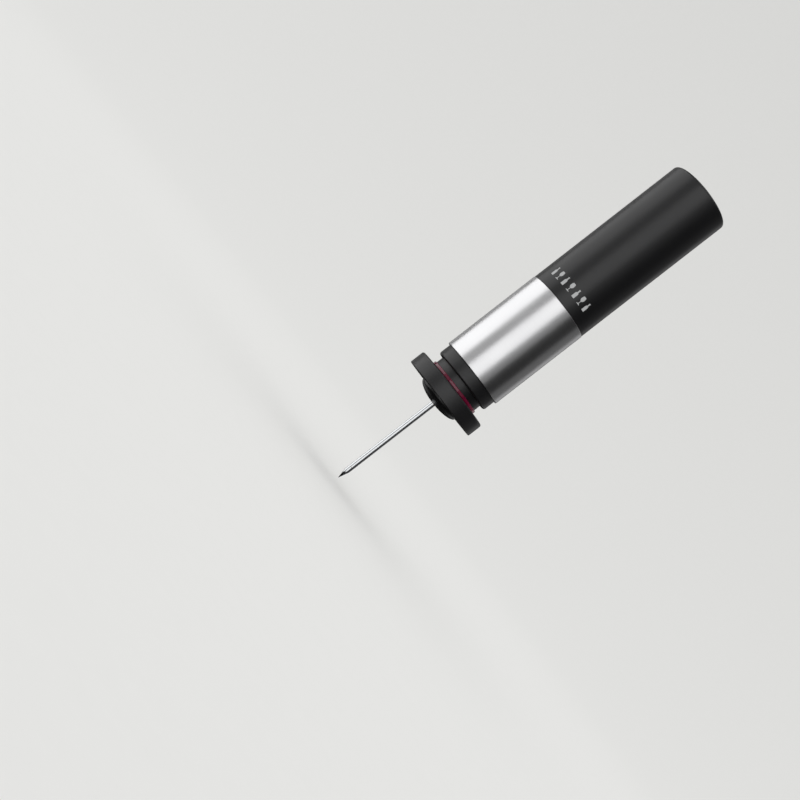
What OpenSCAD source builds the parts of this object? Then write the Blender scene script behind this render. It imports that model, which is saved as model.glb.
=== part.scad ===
// Electric wine opener of the air-pressure kind.
// A hollow needle goes through the cork, a small motor-driven piston pump blows air in below it,
// and the pressure lifts the cork. A sliding guard covers the needle and strips the cork off it.
// Z runs up the axis from the tip of the nose pad, which rests on the cork, to the power button.

/* [Body] */
// Outside diameter of the steel band
band_d = 38; // [37.8:0.1:39]
// Outside diameter of the black upper sleeve
sleeve_d = 37.6; // [37.6:0.1:38.6]
// Height of the black upper sleeve
sleeve_h = 88.8; // [87:0.1:92]
// Radius of the rounding at the sleeve's top edge
sleeve_edge = 1.5; // [1:0.1:3]
// Height of the brushed steel band
band_h = 53.7; // [53:0.1:54]
// Outside diameter of the collar below the band
collar_d = 35.7; // [35:0.1:36.5]
// Height of the collar
collar_h = 6.7; // [6:0.1:7]

/* [Guard] */
// Diameter of the grip flange
flange_d = 46.6; // [40:0.1:52]
// Thickness of the grip flange
flange_h = 8.2; // [8:0.1:9]
// Outside diameter of the sliding neck tube
neck_d = 30.3; // [30.2:0.1:30.4]
// Length of neck that shows between flange and collar
neck_gap = 5.6; // [5:0.1:6]
// Height of the coloured ring at the foot of the neck
ring_h = 1.8; // [1:0.1:3]
// Diameter of the domed nose pad
nose_d = 25.6; // [22:0.1:28]
// Height of the nose pad below the flange
nose_h = 3.9; // [3.8:0.1:4]
// How far the guard slides out to cover the needle
guard_travel = 62; // [55:1:62]

/* [Needle] */
// Diameter of the hollow needle
needle_d = 3; // [2.8:0.1:3.2]
// How far the needle's point stands out below the nose pad
needle_reach = 60; // [50:1:61]
// Length of the needle's conical point
point_h = 6; // [4:0.5:8]

/* [Pump] */
// Bore of the compressor cylinder
bore_d = 10; // [9:0.1:10]
// Piston stroke
stroke = 7; // [5:0.5:7]
// Distance between the connecting rod's two eyes
rod_l = 16; // [16:0.5:17]
// Teeth on the motor pinion
pinion_teeth = 8; // [8]
// Teeth on the crank gear
crank_teeth = 32; // [32]
// Gear module
gear_m = 0.5; // [0.5]

/* [Power] */
// Diameter of the rechargeable cell
cell_d = 18.3; // [14:0.1:18.4]
// Length of the rechargeable cell
cell_l = 50; // [40:0.5:50]
// Diameter of the power button
button_d = 15; // [10:0.1:15]
// Distance from the top face down to the centre of the charging port
port_drop = 27; // [24:1:30]

/* [Hidden] */
$fn = 96;
gap = 0.05;      // clearance between fixed pieces that are assembled together
run = 0.07;      // radial clearance of sliding and turning fits
cut = 0.5;       // how far a cutting shape runs past the face it cuts

// Heights of the outside, from the nose tip up
z_flange = nose_h;
z_neck = z_flange + flange_h;
z_collar = z_neck + neck_gap;
z_band = z_collar + collar_h;
z_sleeve = z_band + band_h;
z_top = z_sleeve + sleeve_h;

// Radii of the housing
band_r = band_d / 2;
sleeve_r = sleeve_d / 2;
band_wall = 0.7;
liner_r = band_r - band_wall - gap;
liner_bore = 16.6;
sleeve_bore = 17.5;      // lower part of the sleeve, round the liner
sleeve_upper_bore = 17.1;
top_wall = 2;
window_r = button_d / 2 + 1.9;

// Guard
neck_r = neck_d / 2;
neck_bore = neck_r - 1.2;
floor_z = z_flange + 1.4;
floor_h = 3.4;
stop_z = z_collar + 9.9;                 // upper end of the guide bush
stop_ring_z = stop_z + guard_travel + 0.3;
guard_top = stop_ring_z + 1.6;
guard_screw_r = 9.6;
needle_hole_r = 2.35;

needle_step = 0.2;       // the needle's upper part is this much thinner, and its shoulder meets the hub

// Shank and head radii of the countersunk screws
guard_screw = [0.92, 1.9];
bulk_screw = [0.93, 1.9];
shell_screw = [0.78, 1.4];
bulk_screw_r = 14.9;     // radius of the circle that the bulkhead screws stand on

// Core inside the guard
core_r = neck_bore - 0.4;
core_bore = core_r - 1.1;
z_head = 13;
z_cyl = 24;
cyl_top = z_cyl + 14.3;
z_bulk = guard_top + 0.6;
bulk_h = 4;
head_screw_r = 9.3;
head_screw_angles = [45, 135, 225, 315];

// Crank train
crank_r = stroke / 2;
piston_h = 6.4;
z_piston = z_cyl + 0.3 + stroke;         // working face at the top of the stroke
z_wrist = z_piston + 4.2;
z_crank = z_wrist + rod_l - crank_r;
pitch_r = gear_m * crank_teeth / 2;      // of the crank gear
pinion_r = gear_m * pinion_teeth / 2;
tooth_tip = 0.4;
tooth_root = 0.65;
gear_face = 2;
gear_y = pinion_r + tooth_root;          // floor between the crank gear's teeth
z_mesh = z_crank + pitch_r;
z_plate = z_mesh + 2;                    // underside of the motor plate
plate_h = 2;
z_motor = z_plate + plate_h + gap;
motor_r = 12.15;
motor_l = 28.6;

// Electronics bay
z_bay = z_bulk + bulk_h + 0.1;
cell_y = -5;
cell_z = z_bay + 1.6;
board_y = 7.4;
board_t = 1.2;
bay_top = cell_z + cell_l + 1.6;
z_top_board = z_top - 11;
lead_x = 4.5;            // motor tabs and the leads soldered to them
lead_y = 7.5;
lead_r = 0.55;
port_z = z_top - port_drop;
pocket_y = 17.65;
hinge_z = port_z - 6.6;
hinge_y = 18.2;

// Points along a circular arc
function arc(c, r, a0, a1, n = 8) =
    [for (i = [0:n]) let (a = a0 + (a1 - a0) * i / n) [c[0] + r * cos(a), c[1] + r * sin(a)]];

// One ring of points round a wire that runs along dir; across is any direction never in line with it
function ring_at(p, dir, across, r, sides) =
    let (d = dir / norm(dir),
         side = cross(d, across),
         u = side / norm(side),
         v = cross(d, u))
    [for (k = [0:sides - 1]) p + r * (cos(360 * k / sides) * u + sin(360 * k / sides) * v)];

// Round wire along a path of points
module wire(path, r, across, sides = 8) {
    n = len(path);
    dirs = [for (i = [0:n - 1]) path[min(i + 1, n - 1)] - path[max(i - 1, 0)]];
    rings = [for (i = [0:n - 1]) ring_at(path[i], dirs[i], across, r, sides)];
    points = [for (ring = rings) each ring];
    walls = [for (i = [0:n - 2]) for (k = [0:sides - 1])
        [i * sides + k, (i + 1) * sides + k, (i + 1) * sides + (k + 1) % sides, i * sides + (k + 1) % sides]];
    ends = [[for (k = [0:sides - 1]) k], [for (k = [sides - 1:-1:0]) (n - 1) * sides + k]];
    polyhedron(points, concat(walls, ends), convexity = 6);
}

// Closed-end compression spring standing between two heights
module coil_spring(mean_r, wire_r, z0, z1, turns, steps = 14) {
    lift = z1 - z0 - 2 * wire_r;
    wire([for (i = [0:turns * steps])
        [mean_r * cos(360 * i / steps), mean_r * sin(360 * i / steps),
         z0 + wire_r + lift * i / (turns * steps)]], wire_r, [0, 0, 1], 6);
}

module disc(r, z0, z1) {
    translate([0, 0, z0]) cylinder(r = r, h = z1 - z0);
}

module tube(outer, inner, z0, z1) {
    difference() {
        disc(outer, z0, z1);
        disc(inner, z0 - cut, z1 + cut);
    }
}

module lathe(points) {
    rotate_extrude() polygon(points);
}

// A cylinder along Y, from y0 to y1, at the given x and z
module along_y(r, y0, y1, x = 0, z = 0) {
    translate([x, y0, z]) rotate([-90, 0, 0]) cylinder(r = r, h = y1 - y0);
}

module block(low, high) {
    translate(low) cube(high - low);
}

module around(count, radius, start = 0) {
    for (i = [0:count - 1]) rotate([0, 0, start + 360 * i / count]) translate([radius, 0, 0]) children();
}

// Countersunk screw with its head's flat top at z = 0, pointing down
module flat_screw(shank_r, length, head_r) {
    head_h = head_r - shank_r;
    difference() {
        lathe([
            [0, 0], [head_r, 0], [head_r, -0.15], [shank_r, -0.15 - head_h], [shank_r, -length], [0, -length]
        ]);
        translate([0, 0, -0.6]) cylinder(r = head_r * 0.4, h = 1, $fn = 6);
    }
}

// The countersink that a flat screw sits in, with its mouth at z = 0
module countersink(shank_r, head_r) {
    head_h = head_r - shank_r;
    lathe([
        [0, cut], [head_r + 0.1, cut], [head_r + 0.1, -0.2], [shank_r + 0.1, -0.2 - head_h],
        [0, -0.2 - head_h]
    ]);
}

// Pan-head screw that stands on z = 0 with its shank below
module pan_screw(shank_r, length, head_r, head_h) {
    difference() {
        union() {
            disc(shank_r, -length, 0);
            disc(head_r, 0, head_h);
        }
        translate([0, 0, head_h * 0.4]) cylinder(r = head_r * 0.45, h = head_h, $fn = 6);
    }
}

// ---------------------------------------------------------------- housing

// The outline of the charging port's cover: square below, at the hinge, and round above
module cover_outline(half_w, low, high) {
    translate([-half_w, low]) square([2 * half_w, high - low - half_w]);
    translate([0, high - half_w]) circle(r = half_w);
}

module toward_back(y0, y1) {
    translate([0, y1, port_z]) rotate([90, 0, 0]) linear_extrude(y1 - y0) children();
}

// Closed-ended tube that holds the battery bay; its shoulder clamps the bulkhead
module sleeve() {
    shoulder = z_bulk + bulk_h;
    color("#1d1d1f") difference() {
        union() {
            lathe(concat(
                [[sleeve_bore, z_sleeve], [sleeve_r - 0.2, z_sleeve], [sleeve_r, z_sleeve + 0.2]],
                arc([sleeve_r - sleeve_edge, z_top - sleeve_edge], sleeve_edge, 0, 90),
                [[window_r + 0.3, z_top], [window_r, z_top - 0.3], [window_r, z_top - top_wall],
                 [sleeve_upper_bore, z_top - top_wall], [sleeve_upper_bore, shoulder],
                 [sleeve_bore, shoulder]]));
            // Pad that backs the pocket of the port cover
            intersection() {
                disc(sleeve_upper_bore + 0.3, port_z - 9.5, port_z + 9.5);
                block([-5.4, 16, port_z - 9.5], [5.4, 19, port_z + 9.5]);
            }
        }
        toward_back(pocket_y, sleeve_r + cut) cover_outline(3.6, -7.4, 7.4);
        toward_back(15, sleeve_r) {
            square([3.5, 6], center = true);
            for (s = [-1, 1]) translate([0, 3 * s]) circle(r = 1.75);
        }
    }
}

module band() {
    e = 0.2;
    color("#c9cacb") lathe([
        [band_r - band_wall, z_band + gap], [band_r - e, z_band + gap], [band_r, z_band + gap + e],
        [band_r, z_sleeve - gap - e], [band_r - e, z_sleeve - gap], [band_r - band_wall, z_sleeve - gap]
    ]);
}

// Ring that closes the housing and carries the guard's bush and drag ring
module collar() {
    r = collar_d / 2;
    seat = 15.75;
    groove = 16.35;
    color("#242426") lathe(concat(
        [[neck_r + 0.45, z_collar], [r - 1.2, z_collar]],
        arc([r - 1.2, z_collar + 1.2], 1.2, -90, 0, 5),
        [[r, z_band], [liner_bore - gap, z_band], [liner_bore - gap, stop_z], [seat, stop_z],
         [seat, z_collar + 2.5], [groove, z_collar + 2.5], [groove, z_collar + 1.1],
         [neck_r + 0.45, z_collar + 1.1]]));
}

// Spine of the housing, hidden under the band and inside the sleeve's lower end
module liner() {
    color("#4a4b4d") lathe([
        [liner_bore, z_band + gap], [liner_r, z_band + gap], [liner_r, z_sleeve - gap],
        [sleeve_bore - gap, z_sleeve - gap], [sleeve_bore - gap, z_bulk], [liner_bore, z_bulk]
    ]);
}

module guide_bush() {
    color("#e8e6df") tube(15.7, neck_r + run, z_collar + 2.6, stop_z);
}

// O-ring that holds the guard wherever it is left
module drag_ring() {
    color("#141414") translate([0, 0, z_collar + 1.8])
        rotate_extrude() translate([neck_r + 0.6, 0]) circle(r = 0.55);
}

module light_ring() {
    inner = button_d / 2 + 0.2;
    z = z_top - top_wall - 0.1;
    color("#dfe3e6") lathe([
        [inner, z - 1.5], [window_r + 1.3, z - 1.5], [window_r + 1.3, z], [window_r - 0.1, z],
        [window_r - 0.1, z_top - 0.4], [window_r - 0.3, z_top - 0.2], [inner + 0.2, z_top - 0.2],
        [inner, z_top - 0.4]
    ]);
}

module power_button() {
    r = button_d / 2;
    z = z_top - 4.6;         // underside of its retaining lip, which stops under the light ring
    color("#232325") lathe(concat(
        [[0, z_top - 5.8], [1.6, z_top - 5.8], [1.6, z_top - 2], [r - 1.2, z_top - 2], [r - 1.2, z],
         [r + 1.2, z], [r + 1.2, z + 0.9], [r, z + 0.9]],
        arc([r - 0.5, z_top - 0.9], 0.5, 0, 90, 4),
        [[r - 2, z_top - 0.5], [0, z_top - 0.9]]));
}

module switch_plunger() {
    color("#b9512e") disc(1.75, z_top - 7.3, z_top - 5.8 - gap);
}

// Silicone flap, flush with the sleeve, that turns on its rounded lower edge
module port_cover() {
    color("#161616") {
        intersection() {
            disc(sleeve_r - gap, port_z - 8, port_z + 8);
            toward_back(pocket_y + gap, sleeve_r + cut) cover_outline(3.45, -6.6, 7.25);
        }
        translate([-3.45, hinge_y, hinge_z]) rotate([0, 90, 0]) cylinder(r = 0.5, h = 6.9);
        toward_back(17.1, pocket_y + 0.2) {
            square([2.8, 6], center = true);
            for (s = [-1, 1]) translate([0, 3 * s]) circle(r = 1.4);
        }
    }
}

// Charging receptacle: a shell with its contact tongue
module usb_port() {
    front = 17;
    back = board_y + board_t;
    color("#b4b6b8") difference() {
        toward_back(back + gap, front) {
            square([3.2, 5.8], center = true);
            for (s = [-1, 1]) translate([0, 2.9 * s]) circle(r = 1.6);
        }
        toward_back(front - 6, front + cut) difference() {
            union() {
                square([2.6, 5.8], center = true);
                for (s = [-1, 1]) translate([0, 2.9 * s]) circle(r = 1.3);
            }
            square([0.7, 6.6], center = true);
        }
    }
}

// ---------------------------------------------------------------- guard

// Tube that slides in the collar, with the floor that the flange is screwed to
module guard_tube() {
    color("#2a2a2c") difference() {
        union() {
            tube(neck_r, neck_bore, floor_z, stop_ring_z);
            tube(neck_r - 0.5, neck_bore, stop_ring_z, guard_top);
            tube(neck_bore + 0.2, needle_hole_r, floor_z, floor_z + floor_h);
        }
        around(3, guard_screw_r) disc(0.97, floor_z - cut, floor_z + floor_h + cut);
    }
}

module grip_flange() {
    r = flange_d / 2;
    color("#262628") difference() {
        lathe(concat(
            [[7.1, z_flange]],
            arc([r - 0.5, z_flange + 0.5], 0.5, -90, 0, 4),
            arc([r - 1.1, z_neck - 1.1], 1.1, 0, 90, 6),
            [[neck_r + gap, z_neck], [neck_r + gap, floor_z], [7.1, floor_z]]));
        around(3, guard_screw_r) {
            disc(1.05, z_flange - cut, floor_z + cut);
            translate([0, 0, z_flange]) mirror([0, 0, 1]) countersink(guard_screw[0], guard_screw[1]);
        }
    }
}

// Red silicone ring that marks the foot of the neck
module accent_ring() {
    outer = neck_r + 0.8;
    low = z_neck + gap;
    e = 0.55;
    color("#c2103f") lathe(concat(
        [[neck_r + gap, low]],
        arc([outer - e, low + e], e, -90, 0, 5),
        arc([outer - e, low + ring_h - e], e, 0, 90, 5),
        [[neck_r + gap, low + ring_h]]));
}

// Domed silicone pad that rests on the cork; its boss locates it in the flange
module nose_pad() {
    dome = nose_h + 0.1;
    start = asin(nose_h / dome);
    color("#121212") lathe(concat(
        [[needle_hole_r, z_flange - nose_h]],
        [for (i = [0:14]) let (a = start * (1 - i / 14))
            [nose_d / 2 * cos(a), z_flange - dome * sin(a)]],
        [[7, z_flange], [7, floor_z - gap], [needle_hole_r, floor_z - gap]]));
}

// Snap ring on the guard's upper end, which stops it at the guide bush
module stop_ring() {
    color("#8e9092") tube(liner_bore - 0.3, neck_r - 0.5 + gap, stop_ring_z + gap, guard_top);
}

module guard_screws() {
    color("#9a9c9e") around(3, guard_screw_r) translate([0, 0, z_flange + gap])
        mirror([0, 0, 1]) flat_screw(guard_screw[0], 4.6, guard_screw[1]);
}

// ---------------------------------------------------------------- core

// Disc clamped under the sleeve's shoulder; everything inside hangs from it or stands on it
module bulkhead() {
    color("#3c4652") difference() {
        disc(sleeve_bore - 0.1, z_bulk, z_bulk + bulk_h);
        disc(liner_bore - 0.2, z_bulk - cut, z_bulk + 1.2);
        for (s = [-1, 1]) translate([lead_x * s, lead_y, 0]) disc(1.4, z_bulk, z_bulk + bulk_h + cut);
        around(4, bulk_screw_r, 45) {
            disc(1.02, z_bulk, z_bulk + bulk_h + cut);
            translate([0, 0, z_bulk + bulk_h]) countersink(bulk_screw[0], bulk_screw[1]);
        }
        for (s = [-1, 1]) translate([12 * s, -7, 0]) disc(1.25, z_bulk + 2, z_bulk + bulk_h + cut);
    }
}

module bulkhead_screws() {
    color("#9a9c9e") around(4, bulk_screw_r, 45) translate([0, 0, z_bulk + bulk_h - gap])
        flat_screw(bulk_screw[0], 3.8, bulk_screw[1]);
}

// Half of the slim casing round the pump and motor
module core_shell(side) {
    low = z_head;
    flange_z = z_bulk - 0.3;
    difference() {
        union() {
            tube(core_r, core_bore, low, flange_z + 0.1);
            tube(liner_bore - 0.4, core_bore, flange_z, flange_z + 1.4);
        }
        mirror([0, side > 0 ? 1 : 0, 0]) block([-20, -0.05, low - cut], [20, 20, flange_z + 2]);
        along_y(0.85, -20, 20, 0, z_head + 5.5);
        for (s = [-1, 1]) translate([0, (core_r - 0.05) * s, z_head + 5.5])
            rotate([-90 * s, 0, 0]) countersink(shell_screw[0], shell_screw[1]);
        around(4, bulk_screw_r, 45) disc(0.97, flange_z - cut, flange_z + 2);
        // Vents by which the pump draws its air
        for (z = [36:4:52]) for (s = [-1, 1]) block([-14, 4.5 * s - 1, z], [14, 4.5 * s + 1, z + 1.5]);
    }
}

module core_shell_front() {
    color("#55585c") core_shell(-1);
}

module core_shell_rear() {
    color("#55585c") core_shell(1);
}

module shell_screws() {
    color("#9a9c9e") for (s = [-1, 1]) translate([0, (core_r - 0.1) * s, z_head + 5.5])
        rotate([-90 * s, 0, 0]) flat_screw(shell_screw[0], 3.9, shell_screw[1]);
}

module motor_can() {
    boss = 3.4;
    color("#a8aaac") difference() {
        union() {
            disc(motor_r, z_motor, z_motor + motor_l);
            disc(boss, z_plate + 0.3, z_motor + cut);
        }
        disc(motor_r - 1, z_motor + 1.3, z_motor + motor_l + cut);
        disc(1 + run, z_plate, z_motor + 2);
        for (s = [-1, 1]) translate([8 * s, 0, 0]) disc(1.05, z_motor - cut, z_motor + 2);
    }
}

// Rear cap of the motor with its two solder tabs
module motor_end_cap() {
    z = z_motor + motor_l + gap;
    color("#ece9e0") difference() {
        union() {
            disc(motor_r - 0.1, z, z + 2);
            for (s = [-1, 1]) block([lead_x * s - 1, 6.6, z + 1.5], [lead_x * s + 1, lead_y - lead_r, z + 4]);
        }
        disc(1 + run, z - cut, z + 1.4);
    }
}

module motor_magnets() {
    color("#4b4743") difference() {
        tube(motor_r - 1.05, 8.7, z_motor + 3, z_motor + 23);
        for (a = [0, 180]) rotate([0, 0, a]) block([-3, 0, z_motor], [3, 14, z_motor + 26]);
    }
}

// Three-pole laminations with their windings and the commutator
module motor_armature() {
    z = z_motor + 4;
    color("#b0622c") difference() {
        union() {
            disc(8.2, z, z + 18);
            disc(5.5, z - 0.8, z + 19);
            disc(2.6, z + 19, z + 23.2);
        }
        disc(1, z - 2, z + 26);
        around(3, 8, 60) block([-3.2, -0.8, z - cut], [2, 0.8, z + 18 + cut]);
        around(3, 6.1, 60) disc(1.6, z - cut, z + 18 + cut);
    }
}

module motor_shaft() {
    color("#d6d8da") disc(1 - 0.005, z_mesh - 1.6, z_motor + motor_l + 1.2);
}

// Spur pinion, phased so that a tooth lies in the gap at the top of the crank gear
module pinion() {
    tip = pinion_r + tooth_tip;
    root = pinion_r - 0.55;
    color("#d8d2c4") translate([0, 0, z_mesh - gear_face / 2 + 0.1]) linear_extrude(gear_face + 0.1) difference() {
        union() {
            circle(r = root);
            for (i = [0:pinion_teeth - 1]) rotate(90 + 360 * i / pinion_teeth)
                polygon([[root - 0.3, -0.34], [root + 0.15, -0.31], [pinion_r, -0.25], [tip, -0.12],
                         [tip, 0.12], [pinion_r, 0.25], [root + 0.15, 0.31], [root - 0.3, 0.34]]);
        }
        circle(r = 1);
    }
}

module motor_screws() {
    color("#9a9c9e") for (s = [-1, 1]) translate([8 * s, 0, z_plate - gap])
        rotate([180, 0, 0]) pan_screw(0.95, plate_h + 1.2, 1.7, 1.2);
}

// Moulded frame between cylinder and motor, which carries the crank gear's bush
module pump_frame() {
    r = core_bore - 0.1;
    z0 = z_cyl + 3 + gap;
    color("#6a7480") difference() {
        union() {
            disc(r, z0, z0 + 3);
            disc(r, z_plate, z_plate + plate_h);
            intersection() {
                disc(r, z0 + 1, z_plate + 1);
                union() {
                    block([-4.2, 6.2, z0], [4.2, 14, z_plate + 1]);
                    block([-4.2, -14, z0], [4.2, -8.6, z_plate + 1]);
                }
            }
        }
        disc(6.75, z0 - cut, cyl_top + 0.2);
        disc(3.5, z_plate - cut, z_plate + plate_h + cut);
        around(4, head_screw_r, 45) disc(1.02, z0 - cut, z0 + 3 + cut);
        for (s = [-1, 1]) translate([8 * s, 0, 0]) disc(1, z_plate - cut, z_plate + plate_h + cut);
        along_y(2.52, 5, 14, 0, z_crank);
        along_y(3.2, 11.2, 14, 0, z_crank);
    }
}

module axle_bush() {
    color("#a67c3a") difference() {
        along_y(2.5, 6.2, 11.15, 0, z_crank);
        along_y(1.5 + run, 5, 13, 0, z_crank);
    }
}

// Face gear whose teeth point at the pinion; the crank pin runs just in front of its face
module crank_gear() {
    back = gear_y + 2.5;
    lower = pitch_r - gear_face / 2;
    upper = pitch_r + gear_face / 2;
    tip_y = pinion_r - tooth_tip;
    color("#e3ddd0") difference() {
        union() {
            along_y(upper, gear_y, back, 0, z_crank);
            along_y(3.1, back - 0.5, back + 0.7, 0, z_crank);
            translate([0, 0, z_crank]) for (i = [0:crank_teeth - 1])
                rotate([0, (i + 0.5) * 360 / crank_teeth, 0]) translate([0, 0, lower])
                    linear_extrude(gear_face - 0.1) polygon([
                        [-0.36, gear_y + 0.3], [-0.33, gear_y], [-0.17, tip_y], [0.17, tip_y],
                        [0.33, gear_y], [0.36, gear_y + 0.3]
                    ]);
        }
        along_y(1.505, gear_y - 1, back + 2, 0, z_crank);
        for (a = [60:60:300]) along_y(1, gear_y - 1, back + 1, 4.9 * sin(a), z_crank + 4.9 * cos(a));
    }
}

module crank_axle() {
    color("#cfd1d3") along_y(1.5, gear_y, 11.95, 0, z_crank);
}

module axle_clip() {
    color("#b9bbbd") difference() {
        along_y(2.7, 11.3, 11.7, 0, z_crank);
        along_y(1.505, 11, 12, 0, z_crank);
        block([-0.8, 11, z_crank], [0.8, 12, z_crank + 4]);
    }
}

// Pressed into the rod's big end; it stops just short of the crank gear's face
module crank_pin() {
    color("#cfd1d3") along_y(1.2, -1.1, gear_y - 0.15, 0, z_crank + crank_r);
}

module con_rod() {
    z1 = z_wrist + rod_l;
    color("#c4c0b4") difference() {
        union() {
            along_y(2.5, -1.1, 1.1, 0, z1);
            along_y(2.1, -1.1, 1.1, 0, z_wrist);
            block([-1.2, -0.8, z_wrist], [1.2, 0.8, z1]);
        }
        along_y(1.205, -2, 2, 0, z1);
        along_y(1 + run, -2, 2, 0, z_wrist);
    }
}

module wrist_pin() {
    color("#cfd1d3") along_y(1, -4.4, 4.4, 0, z_wrist);
}

module piston() {
    r = bore_d / 2 - run;
    color("#d9d5c8") difference() {
        disc(r, z_piston, z_piston + piston_h);
        tube(r + cut, r - 0.9, z_piston + 0.8, z_piston + 1.9);
        along_y(1.005, -6, 6, 0, z_wrist);
        block([-3.6, -1.3, z_wrist - 2.4], [3.6, 1.3, z_piston + 8]);
    }
}

// Ring in the piston's groove that seals on the down stroke
module piston_seal() {
    r = bore_d / 2 - run;
    color("#1a1a1a") tube(r + 0.04, r - 0.85, z_piston + 0.85, z_piston + 1.85);
}

module compressor_cylinder() {
    color("#b7babd") difference() {
        union() {
            disc(11.6, z_cyl + gap, z_cyl + 3);
            disc(6.6, z_cyl + gap, cyl_top);
        }
        disc(bore_d / 2, z_cyl - cut, cyl_top + cut);
        around(4, head_screw_r, 45) disc(1.02, z_cyl - cut, z_cyl + 4);
    }
}

module head_screws() {
    color("#9a9c9e") around(4, head_screw_r, 45) translate([0, 0, z_cyl + 6 + 2 * gap])
        pan_screw(0.92, 12, 1.75, 1.3);
}

// Block under the cylinder with the outlet valve, the relief valve and the needle's thread
module pump_head() {
    r = core_bore - 0.1;
    color("#9fa3a7") difference() {
        disc(r, z_head, z_cyl);
        disc(3.05, z_head - cut, z_head + 5.3);
        disc(4.6, z_head - cut, z_head + 1);
        disc(2.7, z_head + 5, z_head + 8.6);
        disc(0.9, z_head + 8, z_cyl + cut);
        // Relief passage: across from the outlet chamber, then down to its seat
        translate([2, 0, z_head + 7.6]) rotate([0, 90, 0]) cylinder(r = 0.6, h = 6);
        translate([7.6, 0, 0]) {
            disc(0.7, z_head + 6, z_head + 7.6);
            disc(1.7, z_head - cut, z_head + 6.2);
        }
        around(4, head_screw_r, 45) disc(0.95, z_head + 4.5, z_cyl + cut);
        for (s = [0, 1]) mirror([0, s, 0]) along_y(0.8, 9.3, 14, 0, z_head + 5.5);
    }
}

module outlet_valve() {
    color("#202020") disc(2.3, z_head + 7.7, z_head + 8.5);
}

module outlet_spring() {
    color("#c8cacc") coil_spring(1.8, 0.2, z_head + 5.3, z_head + 7.65, 4);
}

module relief_ball() {
    color("#dcdee0") translate([7.6, 0, z_head + 5.12]) sphere(r = 1.25);
}

module relief_spring() {
    color("#c8cacc") translate([7.6, 0, 0]) coil_spring(1.0, 0.2, z_head + 1.9, z_head + 3.8, 4);
}

module relief_plug() {
    color("#a67c3a") translate([7.6, 0, 0]) tube(1.65, 0.5, z_head + 0.1, z_head + 1.85);
}

// Hexagon fitting whose nozzle runs down through the guard to the nose
module needle_hub() {
    color("#b08a45") difference() {
        union() {
            disc(2, 0, z_head - 3);
            translate([0, 0, z_head - 3.2]) cylinder(r = 5.7, h = 3.15, $fn = 6);
            disc(3, z_head - 0.2, z_head + 5.25);
        }
        disc(needle_d / 2 - needle_step + 0.02, -cut, z_head + 3);
        disc(1, z_head, z_head + 6);
    }
}

module hub_seal() {
    color("#141414") translate([0, 0, z_head + 0.5]) rotate_extrude() translate([3.8, 0]) circle(r = 0.48);
}

// Hollow needle: closed conical point, with four side holes above it
module needle() {
    r = needle_d / 2;
    tip = -needle_reach;
    color("#d9dbdd") difference() {
        union() {
            lathe([[0, tip], [r, tip + point_h], [r, 0], [0, 0]]);
            disc(r - needle_step, -gap, z_head + 2.9);
        }
        disc(r - 0.5, tip + point_h + 1, z_head + 4);
        for (z = [3, 6]) translate([0, 0, tip + point_h + z]) rotate([0, 90, z * 30])
            cylinder(r = 0.45, h = 2 * r + 1, center = true);
    }
}

// ---------------------------------------------------------------- electronics

module battery_cell() {
    r = cell_d / 2;
    color("#2f6f9f") translate([0, cell_y, 0]) union() {
        disc(r, cell_z, cell_z + cell_l - 0.8);
        disc(4, cell_z + cell_l - 1, cell_z + cell_l);
    }
}

// Cradle that stands on the bulkhead, holds the cell and both boards
module battery_carrier() {
    r = sleeve_upper_bore - 0.4;
    inner = cell_d / 2 + 0.2;
    color("#30353a") difference() {
        union() {
            disc(r, z_bay, z_bay + 1.2);
            disc(r, bay_top, bay_top + 1.4);
            translate([0, cell_y, 0]) tube(inner + 1.2, inner, z_bay + 0.6, bay_top + 0.6);
            for (s = [-1, 1]) block([11.5 * s - 1.3, 5.6, z_bay + 0.6], [11.5 * s + 1.3, 10.4, bay_top + 0.6]);
            around(3, 11.4, 90) disc(1.8, bay_top + 1, z_top_board);
            for (s = [-1, 1]) translate([12 * s, -7, 0]) disc(1.2, z_bulk + 2.1, z_bay + 0.6);
        }
        block([-8, 0, z_bay + 1.3], [8, 5.7, bay_top - gap]);
        block([-11.1, board_y - gap, z_bay + 1.3], [11.1, board_y + board_t + gap, bay_top - 0.2]);
        block([-6.4, 5.6, z_bay - cut], [6.4, 10.8, z_bay + 2]);
        block([-4.2, 8, bay_top - cut], [4.2, 9.4, bay_top + 2]);
        around(3, 11.4, 90) disc(0.8, bay_top - cut, z_top_board + cut);
    }
}

// Nickel strips from the cell's two ends to the main board
module battery_tabs() {
    leg = board_y - 0.25;
    color("#c3c6c8") for (end = [0, 1]) {
        z = end == 0 ? cell_z - 0.2 : cell_z + cell_l + gap;
        low = end == 0 ? z : z - 5;
        block([-2.4, cell_y - 2, z], [2.4, leg + 0.15, z + 0.15]);
        block([-2.4, leg, low], [2.4, leg + 0.15, low + 5.15]);
    }
}

module main_board() {
    color("#1e5a3a") block([-11, board_y, z_bay + 2.8], [11, board_y + board_t, bay_top - 0.4]);
}

// Controller, power transistors, inductor and capacitors on the main board
module board_parts() {
    y = board_y + board_t + 0.02;
    z = z_bay;
    color("#26282b") {
        block([-3.5, y, z + 24], [3.5, y + 1, z + 31]);
        for (x = [-7.5, 3.5]) block([x, y, z + 15], [x + 4, y + 1.4, z + 19.5]);
        block([-2.2, y, z + 12.5], [2.2, y + 2.2, z + 17.5]);
        for (x = [-9, 6.6]) block([x, y, z + 24], [x + 2, y + 1.2, z + 27]);
        for (x = [-9, 7]) block([x, y, z + 36], [x + 1.6, y + 0.8, z + 39]);
    }
}

module top_board() {
    color("#1e5a3a") difference() {
        disc(13.4, z_top_board, z_top_board + 1.2);
        around(3, 11.4, 90) disc(0.9, z_top_board - cut, z_top_board + 2);
    }
}

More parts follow.
